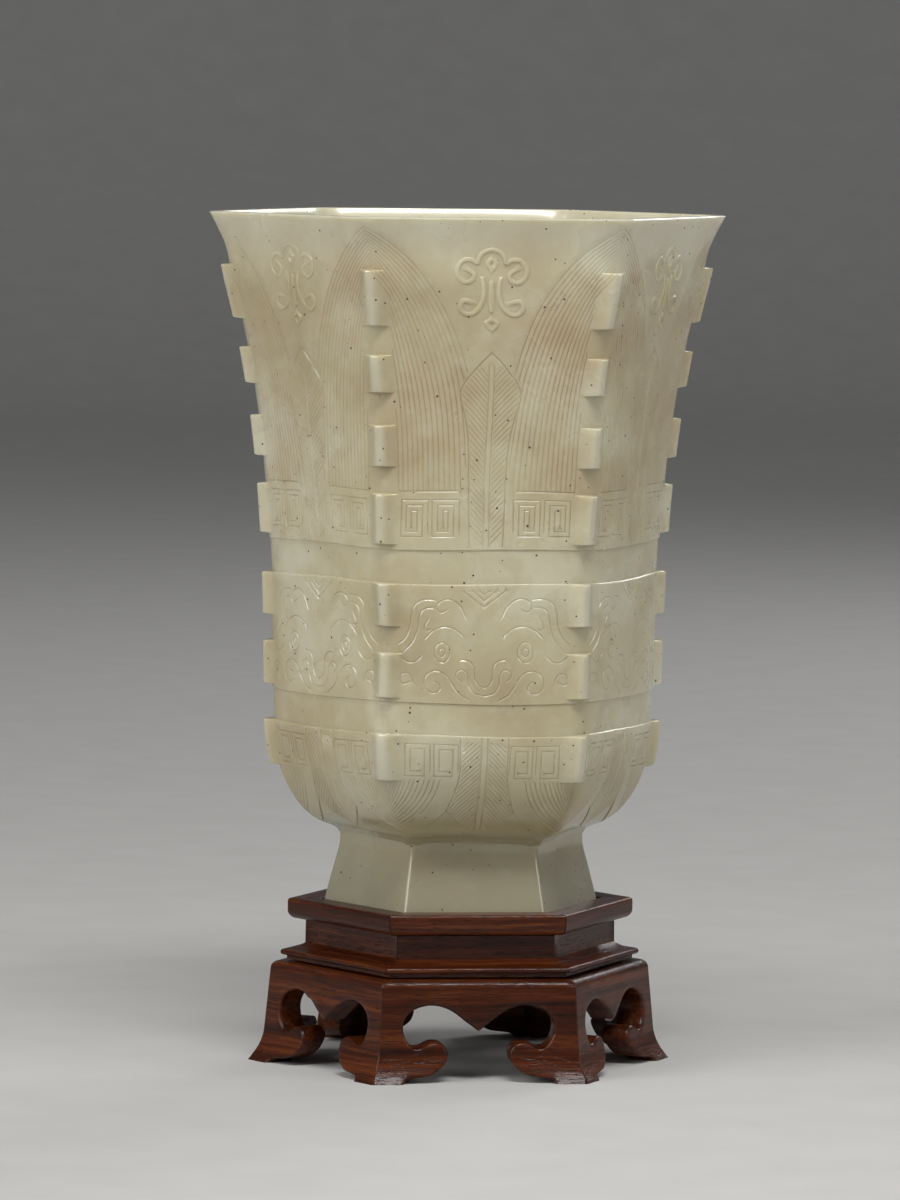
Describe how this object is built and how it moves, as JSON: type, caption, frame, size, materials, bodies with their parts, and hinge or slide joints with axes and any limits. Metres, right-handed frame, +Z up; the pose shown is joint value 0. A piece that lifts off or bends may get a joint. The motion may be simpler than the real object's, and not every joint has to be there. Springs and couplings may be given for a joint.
{
  "type": "jade cup on wooden stand",
  "caption": "Six-sided flaring jade beaker cup with notched corner flanges and a waisted foot, lifting off a mitred hardwood stand with fret-cut aprons and scroll feet.",
  "frame": {"origin": "middle of the stand's footprint, on the surface that it stands on", "axes": "+Z up along the axis of cup and stand; -Y faces the front, square to a flat side; corners lie on the X axis"},
  "size_m": [0.0904, 0.0796, 0.1487],
  "materials": {
    "celadon_jade": "waxy polish, slightly translucent",
    "dark_rosewood": "waxed",
    "seat_wood": "unpolished"
  },
  "bodies": {
    "stand": {"seat_panel": "seat_wood", "frame_rail_1": "dark_rosewood", "frame_rail_2": "dark_rosewood", "frame_rail_3": "dark_rosewood", "frame_rail_4": "dark_rosewood", "frame_rail_5": "dark_rosewood", "frame_rail_6": "dark_rosewood", "waist_rail_1": "dark_rosewood", "waist_rail_2": "dark_rosewood", "waist_rail_3": "dark_rosewood", "waist_rail_4": "dark_rosewood", "waist_rail_5": "dark_rosewood", "waist_rail_6": "dark_rosewood", "apron_panel_1": "dark_rosewood", "apron_panel_2": "dark_rosewood", "apron_panel_3": "dark_rosewood", "apron_panel_4": "dark_rosewood", "apron_panel_5": "dark_rosewood", "apron_panel_6": "dark_rosewood"},
    "cup": {"jade_cup": "celadon_jade"}
  },
  "joints": [
    {"name": "cup_lift", "type": "slide", "parent": "stand", "child": "cup", "axis": [0, 0, 1], "range_m": [0, 0.05]}
  ]
}
